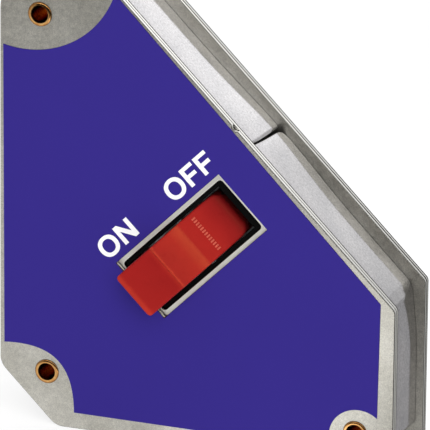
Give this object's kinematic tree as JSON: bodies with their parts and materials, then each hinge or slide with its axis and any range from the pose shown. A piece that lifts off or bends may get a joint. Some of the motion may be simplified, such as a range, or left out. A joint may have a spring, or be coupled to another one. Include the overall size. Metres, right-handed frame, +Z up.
{
  "type": "switchable magnetic welding square",
  "caption": "Multi-angle welding magnet: two laminated steel pole plates around a recessed band, blue panel, and a red rocker that shifts the inner magnets on or off.",
  "frame": {"origin": "middle of the whole object's bounding box at its base, where it stands on its bottom working edge", "axes": "+Z up from the bottom working edge, -Y out of the front face with the label and the rocker, +X towards the short right edge below the diagonal"},
  "size_m": [0.13, 0.0425, 0.148],
  "materials": {
    "plated_steel": "satin zinc-nickel plate, lightly scuffed",
    "band_steel": "bright rolled sheet",
    "brass": "bronzed tubular rivet",
    "label_print": "satin printed panel",
    "rocker_plastic": "semi-gloss moulded",
    "liner_plastic": "satin moulded",
    "bright_steel": "bright",
    "ferrite": "matt sintered",
    "aluminium": "milled",
    "nylon": "matt"
  },
  "bodies": {
    "root": {"front_cover": "plated_steel", "front_pole_plate": "plated_steel", "rear_pole_plate": "plated_steel", "rear_cover": "plated_steel", "perimeter_band": "band_steel", "rivet_top": "brass", "rivet_left": "brass", "rivet_right": "brass", "label": "label_print", "rocker_cradle": "liner_plastic", "spacer_top": "bright_steel", "spacer_left": "bright_steel", "spacer_right": "bright_steel", "rocker_pin": "bright_steel", "cradle_screw_a": "bright_steel", "cradle_screw_b": "bright_steel", "cradle_screw_c": "bright_steel", "cradle_screw_d": "bright_steel", "left_magnet": "ferrite", "bottom_magnet": "ferrite", "corner_magnet": "ferrite", "upper_diagonal_magnet": "ferrite", "lower_diagonal_magnet": "ferrite", "rail_upper": "nylon", "rail_lower": "nylon"},
    "rocker_body": {"rocker": "rocker_plastic", "drive_pin": "bright_steel"},
    "carriage_body": {"magnet_carriage": "aluminium", "carriage_magnet_1": "ferrite", "carriage_magnet_2": "ferrite", "carriage_magnet_3": "ferrite", "carriage_magnet_4": "ferrite"}
  },
  "joints": [
    {"name": "rocker_pivot", "type": "hinge", "parent": "root", "child": "rocker_body", "pos_m": [-0.0017, -0.00665, 0.0656], "axis": [0.7071, 0, -0.7071], "range_deg": [0, 14.5]},
    {"name": "carriage_slide", "type": "slide", "parent": "root", "child": "carriage_body", "axis": [0.7071, 0, 0.7071], "range_m": [0, 0.005]}
  ],
  "couplings": [
    {"joint": "rocker_pivot", "follows": "carriage_slide", "rad_per_m": 50.614}
  ]
}
